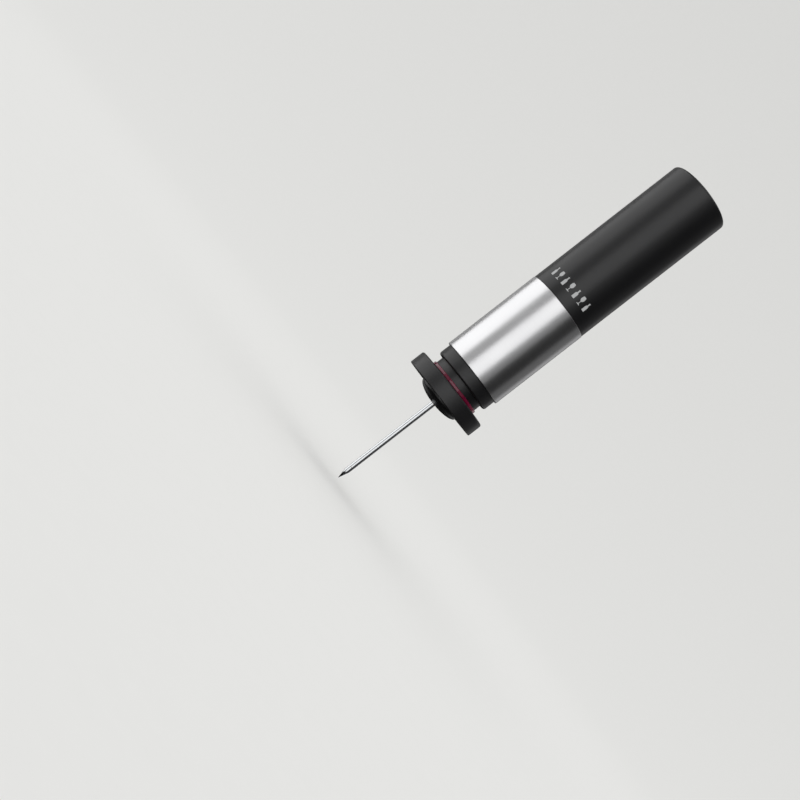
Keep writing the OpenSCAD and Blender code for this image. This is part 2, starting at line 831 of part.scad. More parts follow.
module tact_switch() {
    z = z_top_board + 1.2 + 0.02;
    color("#3a3a3c") difference() {
        block([-3, -3, z], [3, 3, z + 3]);
        disc(1.85, z + 1.4, z + 4);
    }
}

module status_leds() {
    z = z_top_board + 1.2 + 0.02;
    color("#f4f1d8") around(4, 8.5, 45) block([-0.6, -1, z], [0.6, 1, z + 0.8]);
}

module board_screws() {
    color("#9a9c9e") around(3, 11.4, 90) translate([0, 0, z_top_board + 1.2 + gap]) pan_screw(0.76, 4.4, 1.7, 1.1);
}

// Two motor leads and the flat cable between the boards
module wiring() {
    y = board_y + board_t + lead_r + 0.1;
    z = z_bay;
    color("#8c1f1f") {
        for (x = [-lead_x, lead_x]) wire([
            [x, lead_y, z_bulk], [x, lead_y, z - 0.4], [x, lead_y + 0.2, z + 0.2],
            [x, y - 0.2, z + 1.7], [x, y, z + 2.4], [x, y, z + 7]
        ], lead_r, [1, 0, 0]);
        block([-3.4, board_y + board_t + gap, bay_top - 4], [3.4, board_y + board_t + 0.25, z_top_board - gap]);
    }
}

sleeve();
band();
collar();
liner();
guide_bush();
drag_ring();
light_ring();
power_button();
switch_plunger();
port_cover();
usb_port();
guard_tube();
grip_flange();
accent_ring();
nose_pad();
stop_ring();
guard_screws();
bulkhead();
bulkhead_screws();
core_shell_front();
core_shell_rear();
shell_screws();
motor_can();
motor_end_cap();
motor_magnets();
motor_armature();
motor_shaft();
pinion();
motor_screws();
pump_frame();
axle_bush();
crank_gear();
crank_axle();
axle_clip();
crank_pin();
con_rod();
wrist_pin();
piston();
piston_seal();
compressor_cylinder();
head_screws();
pump_head();
outlet_valve();
outlet_spring();
relief_ball();
relief_spring();
relief_plug();
needle_hub();
hub_seal();
needle();
battery_cell();
battery_carrier();
battery_tabs();
main_board();
board_parts();
top_board();
tact_switch();
status_leds();
board_screws();
wiring();
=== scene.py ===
import math

import bmesh
import bpy
from mathutils import Matrix, Vector


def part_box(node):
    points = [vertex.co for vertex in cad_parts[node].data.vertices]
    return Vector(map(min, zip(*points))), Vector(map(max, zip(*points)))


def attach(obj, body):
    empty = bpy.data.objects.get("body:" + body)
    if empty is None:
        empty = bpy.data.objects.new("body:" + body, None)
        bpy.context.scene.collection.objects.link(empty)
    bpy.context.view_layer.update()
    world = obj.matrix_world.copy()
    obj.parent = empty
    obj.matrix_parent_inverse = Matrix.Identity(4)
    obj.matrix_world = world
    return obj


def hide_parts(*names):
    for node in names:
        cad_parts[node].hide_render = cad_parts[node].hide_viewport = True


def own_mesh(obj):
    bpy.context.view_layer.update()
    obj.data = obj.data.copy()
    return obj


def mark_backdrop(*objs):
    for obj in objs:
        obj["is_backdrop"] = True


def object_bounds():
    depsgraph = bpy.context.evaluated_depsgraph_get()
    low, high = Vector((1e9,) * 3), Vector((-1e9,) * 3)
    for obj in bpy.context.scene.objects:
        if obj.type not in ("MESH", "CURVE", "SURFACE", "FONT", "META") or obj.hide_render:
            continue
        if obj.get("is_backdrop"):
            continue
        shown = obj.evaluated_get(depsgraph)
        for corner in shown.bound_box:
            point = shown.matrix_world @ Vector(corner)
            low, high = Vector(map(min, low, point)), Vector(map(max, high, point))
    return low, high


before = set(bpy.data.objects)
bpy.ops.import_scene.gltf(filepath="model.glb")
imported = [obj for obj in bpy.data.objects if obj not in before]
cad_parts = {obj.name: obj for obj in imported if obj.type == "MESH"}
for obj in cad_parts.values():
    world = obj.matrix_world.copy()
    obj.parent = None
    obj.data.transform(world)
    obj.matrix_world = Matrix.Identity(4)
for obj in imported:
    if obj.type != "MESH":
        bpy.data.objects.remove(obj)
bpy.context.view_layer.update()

bl_info = {
    "name": "Electric Wine Opener",
    "version": (1, 0, 0),
    "blender": (4, 5, 0),
    "location": "View3D > Sidebar > Opener",
    "description": "Builds the outside, the finishes and the studio of an air-pressure wine opener",
    "category": "Object",
}

MM = 0.001
SIDES = 192              # facets round every turned piece
ARC_STEPS = 8            # segments in one rounded corner
INK_ROOT = 0.1 * MM      # how deep printed ink reaches below the surface
DISH_RIM = 0.9 * MM      # flat rim round the button's hollow face
SHARP = math.radians(32)  # edges that bend more than this stay crisp
EPSILON = 1e-7


# ---------------------------------------------------------------- properties

def linear(hex_code):
    """Linear red, green and blue of an sRGB hex colour."""
    shares = [int(hex_code[i:i + 2], 16) / 255 for i in (0, 2, 4)]
    return [s / 12.92 if s <= 0.04045 else ((s + 0.055) / 1.055) ** 2.4 for s in shares]


def length(name, description, default):
    """A distance that a user may change."""
    return bpy.props.FloatProperty(
        name=name, description=description, default=default, min=0, unit="LENGTH", precision=5
    )


def colour(name, description, hex_code):
    """A colour that a user may change."""
    return bpy.props.FloatVectorProperty(
        name=name, description=description, default=linear(hex_code), min=0, max=1, subtype="COLOR"
    )


class OPENER_PG_housing(bpy.types.PropertyGroup):
    """Sizes of the housing that the hand holds"""

    sleeve_radius: length("Sleeve radius", "Outer radius of the black sleeve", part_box("sleeve")[1].x)
    sleeve_edge: length("Sleeve edge", "Rounding of the sleeve's closed end", 1.5 * MM)
    sleeve_roof: length("Sleeve roof", "Thickness of the sleeve's closed end", 2 * MM)
    window_radius: length("Window radius", "Radius of the hole for the light ring", 9.4 * MM)
    band_radius: length("Band radius", "Outer radius of the steel band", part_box("band")[1].x)
    band_wall: length("Band wall", "Thickness of the steel band", 0.7 * MM)
    band_edge: length("Band edge", "Rounding of the steel band's ends", 0.25 * MM)
    spring_wire: length("Spring wire", "Radius of the wire of the valve springs", 0.2 * MM)
    collar_edge: length("Collar edge", "Rounding of the collar's lower end", 1.2 * MM)
    cover_gap: length("Cover gap", "Gap round the charging port's cover", 0.15 * MM)
    print_height: length("Print height", "Height of the pictogram printed on the sleeve", 5 * MM)


class OPENER_PG_guard(bpy.types.PropertyGroup):
    """Sizes of the sliding guard, the needle and the button"""

    neck_radius: length("Neck radius", "Outer radius of the sliding tube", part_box("guard_tube")[1].y)
    neck_wall: length("Neck wall", "Thickness of the sliding tube", 1.2 * MM)
    needle_hole: length("Needle hole", "Radius of the hole that the needle passes", 2.35 * MM)
    flange_lower_edge: length("Flange lower edge", "Rounding of the flange's lower edge", 0.5 * MM)
    flange_upper_edge: length("Flange upper edge", "Rounding of the flange's upper edge", 1.1 * MM)
    ring_edge: length("Ring edge", "Rounding of the red ring", 0.5 * MM)
    needle_radius: length("Needle radius", "Outer radius of the hollow needle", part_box("needle")[1].x)
    needle_bore: length("Needle bore", "Radius of the needle's air passage", 1 * MM)
    needle_point: length("Needle point", "Length of the needle's conical point", 6 * MM)
    button_radius: length("Button radius", "Radius of the power button's face", 7.5 * MM)
    button_dish: length("Button dish", "Depth of the hollow for the fingertip", 0.5 * MM)


class OPENER_PG_colours(bpy.types.PropertyGroup):
    """Colours of the outside"""

    sleeve: colour("Sleeve", "Satin lacquer on the sleeve", "121214")
    steel: colour("Steel", "Brushed stainless steel", "D9D9DA")
    guard: colour("Guard", "Moulded plastic of the collar, the neck and the flange", "151517")
    accent: colour("Accent", "Glossy ring above the flange", "700C32")
    rubber: colour("Rubber", "Nose pad and port cover", "0C0C0D")
    button: colour("Button", "Moulded plastic of the button", "161618")
    light: colour("Light ring", "Milky ring round the button", "DFE3E6")
    print: colour("Print", "Pictograms on the sleeve and the button", "B4B5B6")
    stage: colour("Stage", "Floor and backdrop of the studio", "E4E4E2")


# ---------------------------------------------------------------- mesh helpers

def rounded(corners):
    """A closed outline of (radius, height) points from corners given as (radius, height, rounding)."""
    outline = []
    for i, (r, z, rounding) in enumerate(corners):
        here = Vector((r, z))
        if not rounding:
            outline.append(here)
            continue
        before = (Vector(corners[i - 1][:2]) - here).normalized()
        after = (Vector(corners[(i + 1) % len(corners)][:2]) - here).normalized()
        half = before.angle(after) / 2
        centre = here + (before + after).normalized() * (rounding / math.sin(half))
        start = here + before * (rounding / math.tan(half)) - centre
        end = here + after * (rounding / math.tan(half)) - centre
        arc = [start.slerp(end, k / ARC_STEPS) * rounding for k in range(ARC_STEPS + 1)]
        outline += [centre + step for step in arc]
    return outline


def publish(name, shape):
    """An object that holds the finished bmesh."""
    bmesh.ops.remove_doubles(shape, verts=shape.verts, dist=EPSILON)
    bmesh.ops.recalc_face_normals(shape, faces=shape.faces)
    mesh = bpy.data.meshes.new(name)
    shape.to_mesh(mesh)
    shape.free()
    piece = bpy.data.objects.new(name, mesh)
    bpy.context.scene.collection.objects.link(piece)
    return piece


def lathe(name, outline, sides=SIDES):
    """A solid of revolution round the upright axis, from a closed outline of (radius, height) points."""
    shape = bmesh.new()
    points = [shape.verts.new((r, 0, z)) for r, z in outline]
    edges = [
        shape.edges.new((points[i - 1], points[i]))
        for i in range(len(points))
        if points[i - 1].co.x > EPSILON or points[i].co.x > EPSILON
    ]
    bmesh.ops.spin(
        shape, geom=points + edges, axis=(0, 0, 1), cent=(0, 0, 0), angle=math.tau, steps=sides,
        use_merge=True,
    )
    return publish(name, shape)


def prism(name, outline, y0, y1):
    """A solid with an outline of (x, z) points, from y0 to y1."""
    shape = bmesh.new()
    face = shape.faces.new([shape.verts.new((x, y0, z)) for x, z in outline])
    swept = bmesh.ops.extrude_face_region(shape, geom=[face])["geom"]
    moved = [v for v in swept if isinstance(v, bmesh.types.BMVert)]
    bmesh.ops.translate(shape, verts=moved, vec=(0, y1 - y0, 0))
    return publish(name, shape)


def coil(name, centre, radius, wire, low, high, turns=4, steps=48, sides=16):
    """A compression spring of round wire between two heights, with closed end turns."""
    shape = bmesh.new()
    closed = 0.75  # of a turn, at each end
    climb = high - low - 2 * wire
    open_pitch = (climb - 4 * wire * closed) / (turns - 2 * closed)
    rings = []
    for step in range(turns * steps + 1):
        turn = step / steps
        opened = min(max(turn - closed, 0), turns - 2 * closed)
        rise = low + wire + 2 * wire * (turn - opened) + open_pitch * opened
        bearing = math.tau * turn
        rings.append([
            shape.verts.new((
                centre.x + (radius + wire * math.cos(a)) * math.cos(bearing),
                centre.y + (radius + wire * math.cos(a)) * math.sin(bearing),
                rise + wire * math.sin(a),
            ))
            for a in [math.tau * k / sides for k in range(sides)]
        ])
    for below, above in zip(rings, rings[1:]):
        for k in range(sides):
            shape.faces.new((below[k - 1], below[k], above[k], above[k - 1]))
    shape.faces.new(rings[0])
    shape.faces.new(rings[-1])
    return publish(name, shape)


def half_turn(centre, radius, start, steps=24):
    """Points along a half circle, anticlockwise from the start angle."""
    angles = [start + math.pi * k / steps for k in range(steps + 1)]
    return [(centre[0] + radius * math.cos(a), centre[1] + radius * math.sin(a)) for a in angles]


def cover_outline(half_width, low, high):
    """Square below, where the hinge is, and round above."""
    return [(-half_width, low), (half_width, low), *half_turn((0, high - half_width), half_width, 0)]


def port_outline(half_width, middle, half_run):
    """A long hole with round ends."""
    return [
        *half_turn((0, middle + half_run), half_width, 0),
        *half_turn((0, middle - half_run), half_width, math.pi),
    ]


def move(piece, matrix):
    """Applies the matrix to the piece's mesh."""
    piece.data.transform(matrix)


def combine(piece, operation, *tools):
    """Cuts, joins or intersects the piece with each tool, and removes the tools."""
    for tool in tools:
        step = piece.modifiers.new(operation.lower(), "BOOLEAN")
        step.operation = operation
        step.solver = "EXACT"
        step.object = tool
    bpy.context.view_layer.update()
    result = piece.evaluated_get(bpy.context.evaluated_depsgraph_get())
    mesh = bpy.data.meshes.new_from_object(result)
    piece.modifiers.clear()
    piece.data = mesh
    for tool in tools:
        bpy.data.objects.remove(tool)


def smooth(piece):
    """Smooth shading with crisp edges, where the broad faces keep their true direction."""
    shape = bmesh.new()
    shape.from_mesh(piece.data)
    for face in shape.faces:
        face.smooth = True
    for edge in shape.edges:
        edge.smooth = edge.is_manifold and edge.calc_face_angle() < SHARP
    shape.to_mesh(piece.data)
    shape.free()
    piece.modifiers.new("face_directions", "WEIGHTED_NORMAL").keep_sharp = True


def settle(piece, body, slot, material, *nodes):
    """Gives the piece its shading and material, ties it to its body and hides the CAD nodes it stands in
    for.
    """
    smooth(piece)
    piece.data.materials.clear()
    piece.data.materials.append(material)
    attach(piece, body)
    if nodes:
        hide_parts(*nodes)


# ---------------------------------------------------------------- material helpers

def add(tree, kind, inputs=(), **settings):
    """Adds a node with its settings; inputs are pairs of a name or number and a value or an output."""
    made = tree.nodes.new(kind)
    for name, value in settings.items():
        setattr(made, name, value)
    for name, value in inputs:
        if isinstance(value, bpy.types.NodeSocket):
            tree.links.new(value, made.inputs[name])
        else:
            made.inputs[name].default_value = value
    return made


def finish(name, colour, roughness, metallic=0.0, ior=1.5, grain=0.8, depth=0.01, tone=0.06,
           gloss=0.04, run=(1, 1, 1), smudge=14.0):
    """A material with grain, uneven tone and uneven gloss.

    grain is the size of its marks, depth their height and smudge the size of its dull patches, all in
    millimetres. run stretches the marks: a small number along an axis makes them long that way. tone and
    gloss are how far colour and roughness stray.
    """
    material = bpy.data.materials.new(name)
    material.use_nodes = True
    tree = material.node_tree
    shader = tree.nodes["Principled BSDF"]
    shader.inputs["Metallic"].default_value = metallic
    if not metallic:
        shader.inputs["IOR"].default_value = ior
    place = add(tree, "ShaderNodeTexCoord").outputs["Object"]
    along = add(tree, "ShaderNodeMapping", [("Vector", place), ("Scale", run)]).outputs["Vector"]
    marks = add(tree, "ShaderNodeTexNoise", [
        ("Vector", along), ("Scale", 1 / (grain * MM)), ("Detail", 3), ("Roughness", 0.6),
    ]).outputs["Fac"]
    patches = add(tree, "ShaderNodeTexNoise", [
        ("Vector", place), ("Scale", 1 / (smudge * MM)), ("Detail", 2),
    ]).outputs["Fac"]
    darker = [*(c * (1 - tone) for c in colour), 1]
    lighter = [*(min(1, c * (1 + tone)) for c in colour), 1]
    shade = add(tree, "ShaderNodeMix", [(0, marks), (6, darker), (7, lighter)], data_type="RGBA")
    both = add(tree, "ShaderNodeMath", [(0, marks), (1, patches)], operation="ADD").outputs[0]
    spread = add(tree, "ShaderNodeMapRange", [
        ("Value", both), ("From Min", 0.7), ("From Max", 1.3),
        ("To Min", max(0.02, roughness - gloss)), ("To Max", min(1, roughness + gloss)),
    ]).outputs[0]
    bump = add(tree, "ShaderNodeBump", [("Height", marks), ("Distance", depth * MM), ("Strength", 1)])
    tree.links.new(shade.outputs[2], shader.inputs["Base Color"])
    tree.links.new(spread, shader.inputs["Roughness"])
    tree.links.new(bump.outputs[0], shader.inputs["Normal"])
    return material


def shader_of(material):
    """The material's main shader."""
    return material.node_tree.nodes["Principled BSDF"]


# ---------------------------------------------------------------- materials of the outside

def satin_lacquer(colours):
    """Sprayed satin lacquer on ABS: deep black with broad soft lights and a faint orange peel."""
    return finish("satin_lacquer_on_abs", colours.sleeve, 0.36, grain=1.2, depth=0.004, tone=0.05,
                  gloss=0.025)


def brushed_steel(colours):
    """Stainless steel brushed round the tube: long bright bands, and fine lines across them."""
    # Real brush lines are about 0.05 mm apart; they are drawn 0.3 mm apart so that they show.
    material = finish("brushed_stainless_steel", colours.steel, 0.33, metallic=1.0, grain=0.3,
                      depth=0.0008, tone=0.05, gloss=0.04, run=(0.02, 0.02, 1), smudge=30)
    shader = shader_of(material)
    shader.inputs["Anisotropic"].default_value = 0.3
    shader.inputs["Anisotropic Rotation"].default_value = 0.25
    tree = material.node_tree
    tangent = add(tree, "ShaderNodeTangent", direction_type="RADIAL", axis="Z")
    tree.links.new(tangent.outputs[0], shader.inputs["Tangent"])
    return material


def textured_abs(colours):
    """Moulded ABS from a spark-eroded mould: charcoal and matte, with a fine even grain."""
    return finish("spark_textured_abs", colours.guard, 0.4, grain=0.7, depth=0.012, tone=0.08, gloss=0.05)


def sliding_abs(colours):
    """The same ABS where it slides in its bush: faintly polished in lengthwise streaks."""
    return finish("rubbed_abs", colours.guard, 0.4, grain=0.9, depth=0.004, tone=0.06, gloss=0.09,
                  run=(1, 1, 0.05))


def gloss_acrylic(colours):
    """Moulded acrylic: deep wine red with sharp bright lights."""
    material = finish("moulded_acrylic", colours.accent, 0.14, ior=1.49, grain=2.5, depth=0.002,
                      tone=0.06, gloss=0.03)
    shader_of(material).inputs["Coat Weight"].default_value = 0.2
    shader_of(material).inputs["Coat Roughness"].default_value = 0.06
    return material


def silicone_rubber(colours):
    """Moulded silicone rubber: near black, with a slightly greasy gloss."""
    return finish("moulded_silicone_rubber", colours.rubber, 0.33, ior=1.41, grain=1.0, depth=0.008,
                  tone=0.08, gloss=0.06)


def satin_abs(colours):
    """Moulded ABS with a satin face: dark grey, and polished a little by the fingertip."""
    return finish("satin_moulded_abs", colours.button, 0.34, grain=0.8, depth=0.005, tone=0.06, gloss=0.07,
                  smudge=5)


def milky_polycarbonate(colours):
    """Diffusing polycarbonate: pale and cloudy, so that light spreads evenly in it."""
    material = finish("milky_polycarbonate", colours.light, 0.3, ior=1.58, grain=1.5, depth=0.003,
                      tone=0.02, gloss=0.03)
    shader_of(material).inputs["Subsurface Weight"].default_value = 0.3
    shader_of(material).inputs["Subsurface Radius"].default_value = (1 * MM, 1 * MM, 1 * MM)
    shader_of(material).inputs["Subsurface Scale"].default_value = 1.0
    return material


def pad_print(colours):
    """Pad-printed ink: pale grey and flat, on the lacquer."""
    return finish("pad_printed_ink", colours.print, 0.55, grain=0.4, depth=0.002, tone=0.04, gloss=0.04)


def ground_steel(colours):
    """Ground and polished stainless steel of a needle: bright, with fine lengthwise grinding lines."""
    # Grinding lines are about 0.02 mm apart; they are drawn 0.25 mm apart so that they show.
    return finish("ground_stainless_steel", linear("D4D6D8"), 0.22, metallic=1.0, grain=0.25,
                  depth=0.0004, tone=0.03, gloss=0.03, run=(1, 1, 0.04))


# ---------------------------------------------------------------- materials of the inside

def drawn_spring_wire():
    """Drawn spring steel: smooth and bright, with cloudy patches from its tempering."""
    return finish("drawn_spring_steel", linear("B7B5B0"), 0.22, metallic=1.0, grain=0.3, depth=0.0005,
                  tone=0.05, gloss=0.05, smudge=1)


def enamelled_copper():
    """Enamelled copper wire wound in layers: amber, with a ridge for each turn."""
    material = finish("enamelled_copper_wire", linear("B4622D"), 0.3, metallic=1.0, grain=0.6, depth=0.01,
                      tone=0.12, gloss=0.08)
    tree = material.node_tree
    # Wire of 0.2 mm is drawn as turns 0.5 mm apart so that they show.
    place = add(tree, "ShaderNodeTexCoord").outputs["Object"]
    turns = add(tree, "ShaderNodeTexWave", [("Vector", place), ("Scale", 0.314 / (0.5 * MM))],
                bands_direction="X")
    ridges = add(tree, "ShaderNodeBump", [("Height", turns.outputs[1]), ("Distance", 0.1 * MM)])
    tree.links.new(ridges.outputs[0], shader_of(material).inputs["Normal"])
    return material


def natural_acetal():
    """Moulded acetal of gears and the piston: ivory and slightly waxy."""
    material = finish("moulded_acetal", linear("E6E1D3"), 0.32, ior=1.48, grain=1.0, depth=0.005,
                      tone=0.03, gloss=0.05)
    shader_of(material).inputs["Subsurface Weight"].default_value = 0.1
    shader_of(material).inputs["Subsurface Radius"].default_value = (0.8 * MM, 0.8 * MM, 0.6 * MM)
    shader_of(material).inputs["Subsurface Scale"].default_value = 1.0
    return material


def circuit_board():
    """Glass-epoxy circuit board: green solder mask over a pattern of paler tracks."""
    material = finish("glass_epoxy_board", linear("17603A"), 0.35, ior=1.55, grain=0.5, depth=0.004,
                      tone=0.08, gloss=0.05)
    tree = material.node_tree
    # Tracks 0.3 mm wide are drawn about 0.7 mm wide so that they show.
    place = add(tree, "ShaderNodeTexCoord").outputs["Object"]
    tracks = add(tree, "ShaderNodeTexVoronoi", [("Vector", place), ("Scale", 1 / (3.5 * MM))],
                 feature="DISTANCE_TO_EDGE")
    edges = add(tree, "ShaderNodeMath", [(0, tracks.outputs[0]), (1, 0.1)], operation="LESS_THAN")
    mask = add(tree, "ShaderNodeMix", [
        (0, edges.outputs[0]), (6, [*linear("17603A"), 1]), (7, [*linear("2E8A58"), 1]),
    ], data_type="RGBA")
    tree.links.new(mask.outputs[2], shader_of(material).inputs["Base Color"])
    return material


PLAIN_FINISHES = {
    # Zinc-plated screw steel: grey-white and slightly cloudy.
    "screw_steel": ("zinc_plated_steel", "B9BCBE", 0.32, dict(
        metallic=1.0, grain=0.6, depth=0.003, tone=0.08, gloss=0.08, smudge=3
    )),
    # Turned steel: bright grey, with tool marks round it.
    "machined_steel": ("turned_steel", "C0C2C4", 0.25, dict(
        metallic=1.0, grain=0.3, depth=0.002, tone=0.06, gloss=0.06, run=(0.1, 0.1, 1)
    )),
    # Turned brass: warm yellow, with tool marks round it.
    "brass": ("turned_brass", "C9A24E", 0.24, dict(
        metallic=1.0, grain=0.3, depth=0.002, tone=0.06, gloss=0.06, run=(0.1, 0.1, 1)
    )),
    # Oil-soaked sintered bronze: brown, porous and dull.
    "bronze": ("sintered_bronze", "9C7446", 0.42, dict(
        metallic=1.0, grain=0.25, depth=0.01, tone=0.15, gloss=0.08
    )),
    # Die-cast zinc alloy: pale grey, with the soft skin of the mould.
    "cast_alloy": ("die_cast_zinc_alloy", "A6A9AB", 0.45, dict(
        metallic=1.0, grain=0.9, depth=0.012, tone=0.08, gloss=0.08
    )),
    # Deep-drawn, zinc-plated motor can: bright with lengthwise draw lines.
    "motor_zinc": ("drawn_zinc_plated_steel", "B4B7B9", 0.3, dict(
        metallic=1.0, grain=0.4, depth=0.002, tone=0.06, gloss=0.07, run=(1, 1, 0.05)
    )),
    # Rolled nickel strip: warm grey, with rolling lines.
    "nickel": ("rolled_nickel_strip", "BDB7A8", 0.28, dict(
        metallic=1.0, grain=0.3, depth=0.002, tone=0.05, gloss=0.05, run=(1, 1, 0.05)
    )),
    # Sintered ferrite magnet: charcoal and dull like slate.
    "ferrite": ("sintered_ferrite", "3A3B3D", 0.6, dict(grain=0.4, depth=0.012, tone=0.12, gloss=0.06)),
    # Glass-filled nylon of the frames: grey, with fibres that show as long flecks.
    "frame_grey": ("glass_filled_nylon", "55575A", 0.5, dict(
        grain=0.5, depth=0.01, tone=0.14, gloss=0.06, run=(1, 1, 0.3)
    )),
    # Moulded polypropylene of the inner casings: mid grey and waxy.
    "casing_grey": ("moulded_polypropylene", "6B6D70", 0.42, dict(
        grain=1.2, depth=0.008, tone=0.06, gloss=0.06
    )),
    # Extruded PVC liner: dark grey, with faint lengthwise draw lines.
    "liner_grey": ("extruded_pvc", "4A4B4D", 0.4, dict(
        grain=0.8, depth=0.004, tone=0.06, gloss=0.05, run=(1, 1, 0.04)
    )),
    # Turned black acetal of the guide bush: dark, with tool marks round it.
    "bush_acetal": ("turned_black_acetal", "2C2D2F", 0.35, dict(
        ior=1.48, grain=0.4, depth=0.003, tone=0.06, gloss=0.05, run=(0.1, 0.1, 1)
    )),
    # Moulded nitrile rubber of the seals: black and dull.
    "seal_rubber": ("moulded_nitrile_rubber", "161617", 0.55, dict(
        ior=1.52, grain=0.6, depth=0.008, tone=0.1, gloss=0.06
    )),
    # Pressed phenolic resin of the motor's end cap: off-white and chalky.
    "motor_cap": ("pressed_phenolic", "D8D4C8", 0.48, dict(grain=0.5, depth=0.006, tone=0.05, gloss=0.05)),
    # Heat-shrunk PVC film on the cell: clear blue with a wrinkled gloss.
    "cell_wrap": ("heat_shrunk_pvc_film", "2F6EA8", 0.22, dict(
        ior=1.53, grain=4.0, depth=0.04, tone=0.06, gloss=0.05
    )),
    # Moulded epoxy of chips and switches: black with a fine sandy face.
    "chip_black": ("moulded_epoxy", "1C1C1E", 0.5, dict(grain=0.3, depth=0.006, tone=0.1, gloss=0.05)),
    # Silicone with yellow phosphor in the light sources: pale yellow and soft.
    "led_yellow": ("phosphor_silicone", "E8D36A", 0.35, dict(
        ior=1.41, grain=0.4, depth=0.004, tone=0.06, gloss=0.04
    )),
    # Extruded PVC insulation: red and smooth, with slight gloss.
    "wire_red": ("extruded_pvc_insulation", "A3201E", 0.3, dict(
        ior=1.53, grain=1.0, depth=0.003, tone=0.05, gloss=0.05
    )),
}

# Finishes with a pattern or a depth of their own.
PATTERNED_FINISHES = {
    "winding_copper": enamelled_copper,
    "gear_acetal": natural_acetal,
    "board_green": circuit_board,
}


def coat(*slots):
    """Gives every CAD node of these material slots its finish."""
    for slot in slots:
        if slot in PATTERNED_FINISHES:
            material = PATTERNED_FINISHES[slot]()
        else:
            name, hex_code, roughness, settings = PLAIN_FINISHES[slot]
            material = finish(name, linear(hex_code), roughness, **settings)
        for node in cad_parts.values():
            if node.data.materials[0].name == slot:
                node.data.materials[0] = material


# ---------------------------------------------------------------- the housing

class OPENER_OT_sleeve(bpy.types.Operator):
    """Adds the black sleeve, with the window of the light ring and the pocket of the charging port"""

    bl_idname = "opener.sleeve"
    bl_label = "Sleeve"

    def execute(self, context):
        sizes = context.scene.opener_housing
        low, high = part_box("sleeve")
        outer = sizes.sleeve_radius
        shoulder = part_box("bulkhead")[1].z
        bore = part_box("bulkhead")[1].x + 0.1 * MM
        upper_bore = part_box("battery_carrier")[1].x + 0.4 * MM
        ceiling = high.z - sizes.sleeve_roof
        piece = lathe("sleeve_shell", rounded([
            (bore, low.z, 0),
            (outer, low.z, 0.2 * MM),
            (outer, high.z, sizes.sleeve_edge),
            (sizes.window_radius, high.z, 0.3 * MM),
            (sizes.window_radius, ceiling, 0),
            (upper_bore, ceiling, 0),
            (upper_bore, shoulder, 0),
            (bore, shoulder, 0),
        ]))
        cover_low, cover_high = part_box("port_cover")
        port_low, port_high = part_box("usb_port")
        gap = sizes.cover_gap
        middle = (port_low.z + port_high.z) / 2
        half_run = middle - port_low.z - port_high.x + 0.1 * MM
        pad_x = 5.4 * MM
        pad_z = 9.5 * MM
        pad_back = 16 * MM
        pad_face = 17.3 * MM
        pocket_floor = 17.65 * MM
        pad = prism("pad", [
            (-pad_x, middle - pad_z), (pad_x, middle - pad_z), (pad_x, middle + pad_z),
            (-pad_x, middle + pad_z),
        ], pad_back, pad_face)
        pocket = prism("pocket", cover_outline(
            cover_high.x + gap, cover_low.z - 2 * gap, cover_high.z + gap,
        ), pocket_floor, outer + 1 * MM)
        hole = prism("hole", port_outline(port_high.x + gap, middle, half_run), pad_back - 1 * MM, outer)
        combine(piece, "UNION", pad)
        combine(piece, "DIFFERENCE", pocket, hole)
        settle(piece, "housing", "sleeve_black", satin_lacquer(context.scene.opener_colours), "sleeve")
        return {"FINISHED"}


class OPENER_OT_band(bpy.types.Operator):
    """Adds the brushed steel band"""

    bl_idname = "opener.band"
    bl_label = "Steel band"

    def execute(self, context):
        sizes = context.scene.opener_housing
        low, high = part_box("band")
        inner = sizes.band_radius - sizes.band_wall
        piece = lathe("steel_band", rounded([
            (inner, low.z, 0),
            (sizes.band_radius, low.z, sizes.band_edge),
            (sizes.band_radius, high.z, sizes.band_edge),
            (inner, high.z, 0),
        ]))
        settle(piece, "housing", "band_steel", brushed_steel(context.scene.opener_colours), "band")
        return {"FINISHED"}


class OPENER_OT_collar(bpy.types.Operator):
    """Adds the collar below the steel band, with the seat of the bush and the groove of the drag ring"""

    bl_idname = "opener.collar"
    bl_label = "Collar"

    def execute(self, context):
        low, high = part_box("collar")
        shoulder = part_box("band")[0].z - 0.05 * MM
        bush_low, bush_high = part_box("guide_bush")
        ring_low, ring_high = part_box("drag_ring")
        mouth = context.scene.opener_guard.neck_radius + 0.45 * MM
        seat = bush_high.x + 0.05 * MM
        groove = ring_high.x + 0.05 * MM
        rim = seat + 0.8 * MM
        piece = lathe("lower_collar", rounded([
            (mouth, low.z, 0.15 * MM),
            (high.x, low.z, context.scene.opener_housing.collar_edge),
            (high.x, shoulder, 0.1 * MM),
            (rim, shoulder, 0),
            (rim, high.z, 0),
            (seat, high.z, 0),
            (seat, bush_low.z - 0.1 * MM, 0),
            (groove, bush_low.z - 0.1 * MM, 0),
            (groove, ring_low.z - 0.15 * MM, 0),
            (mouth, ring_low.z - 0.15 * MM, 0),
        ]))
        settle(piece, "housing", "guard_black", textured_abs(context.scene.opener_colours), "collar")
        return {"FINISHED"}


def bottle_outline(height):
    """A bottle's silhouette as (across, up) points, centred on zero."""
    half = [(0.17, 0), (0.17, 0.52), (0.15, 0.6), (0.07, 0.7), (0.06, 0.93), (0.09, 0.93), (0.09, 1)]
    return [(x * height, z * height) for x, z in half + [(-x, z) for x, z in reversed(half)]]


def glass_outline(height):
    """A stemmed glass's silhouette as (across, up) points, centred on zero."""
    half = [(0.19, 0), (0.19, 0.05), (0.03, 0.1), (0.03, 0.4), (0.14, 0.48), (0.21, 0.62), (0.2, 0.8),
            (0.15, 1)]
    return [(x * height, z * height) for x, z in half + [(-x, z) for x, z in reversed(half)]]


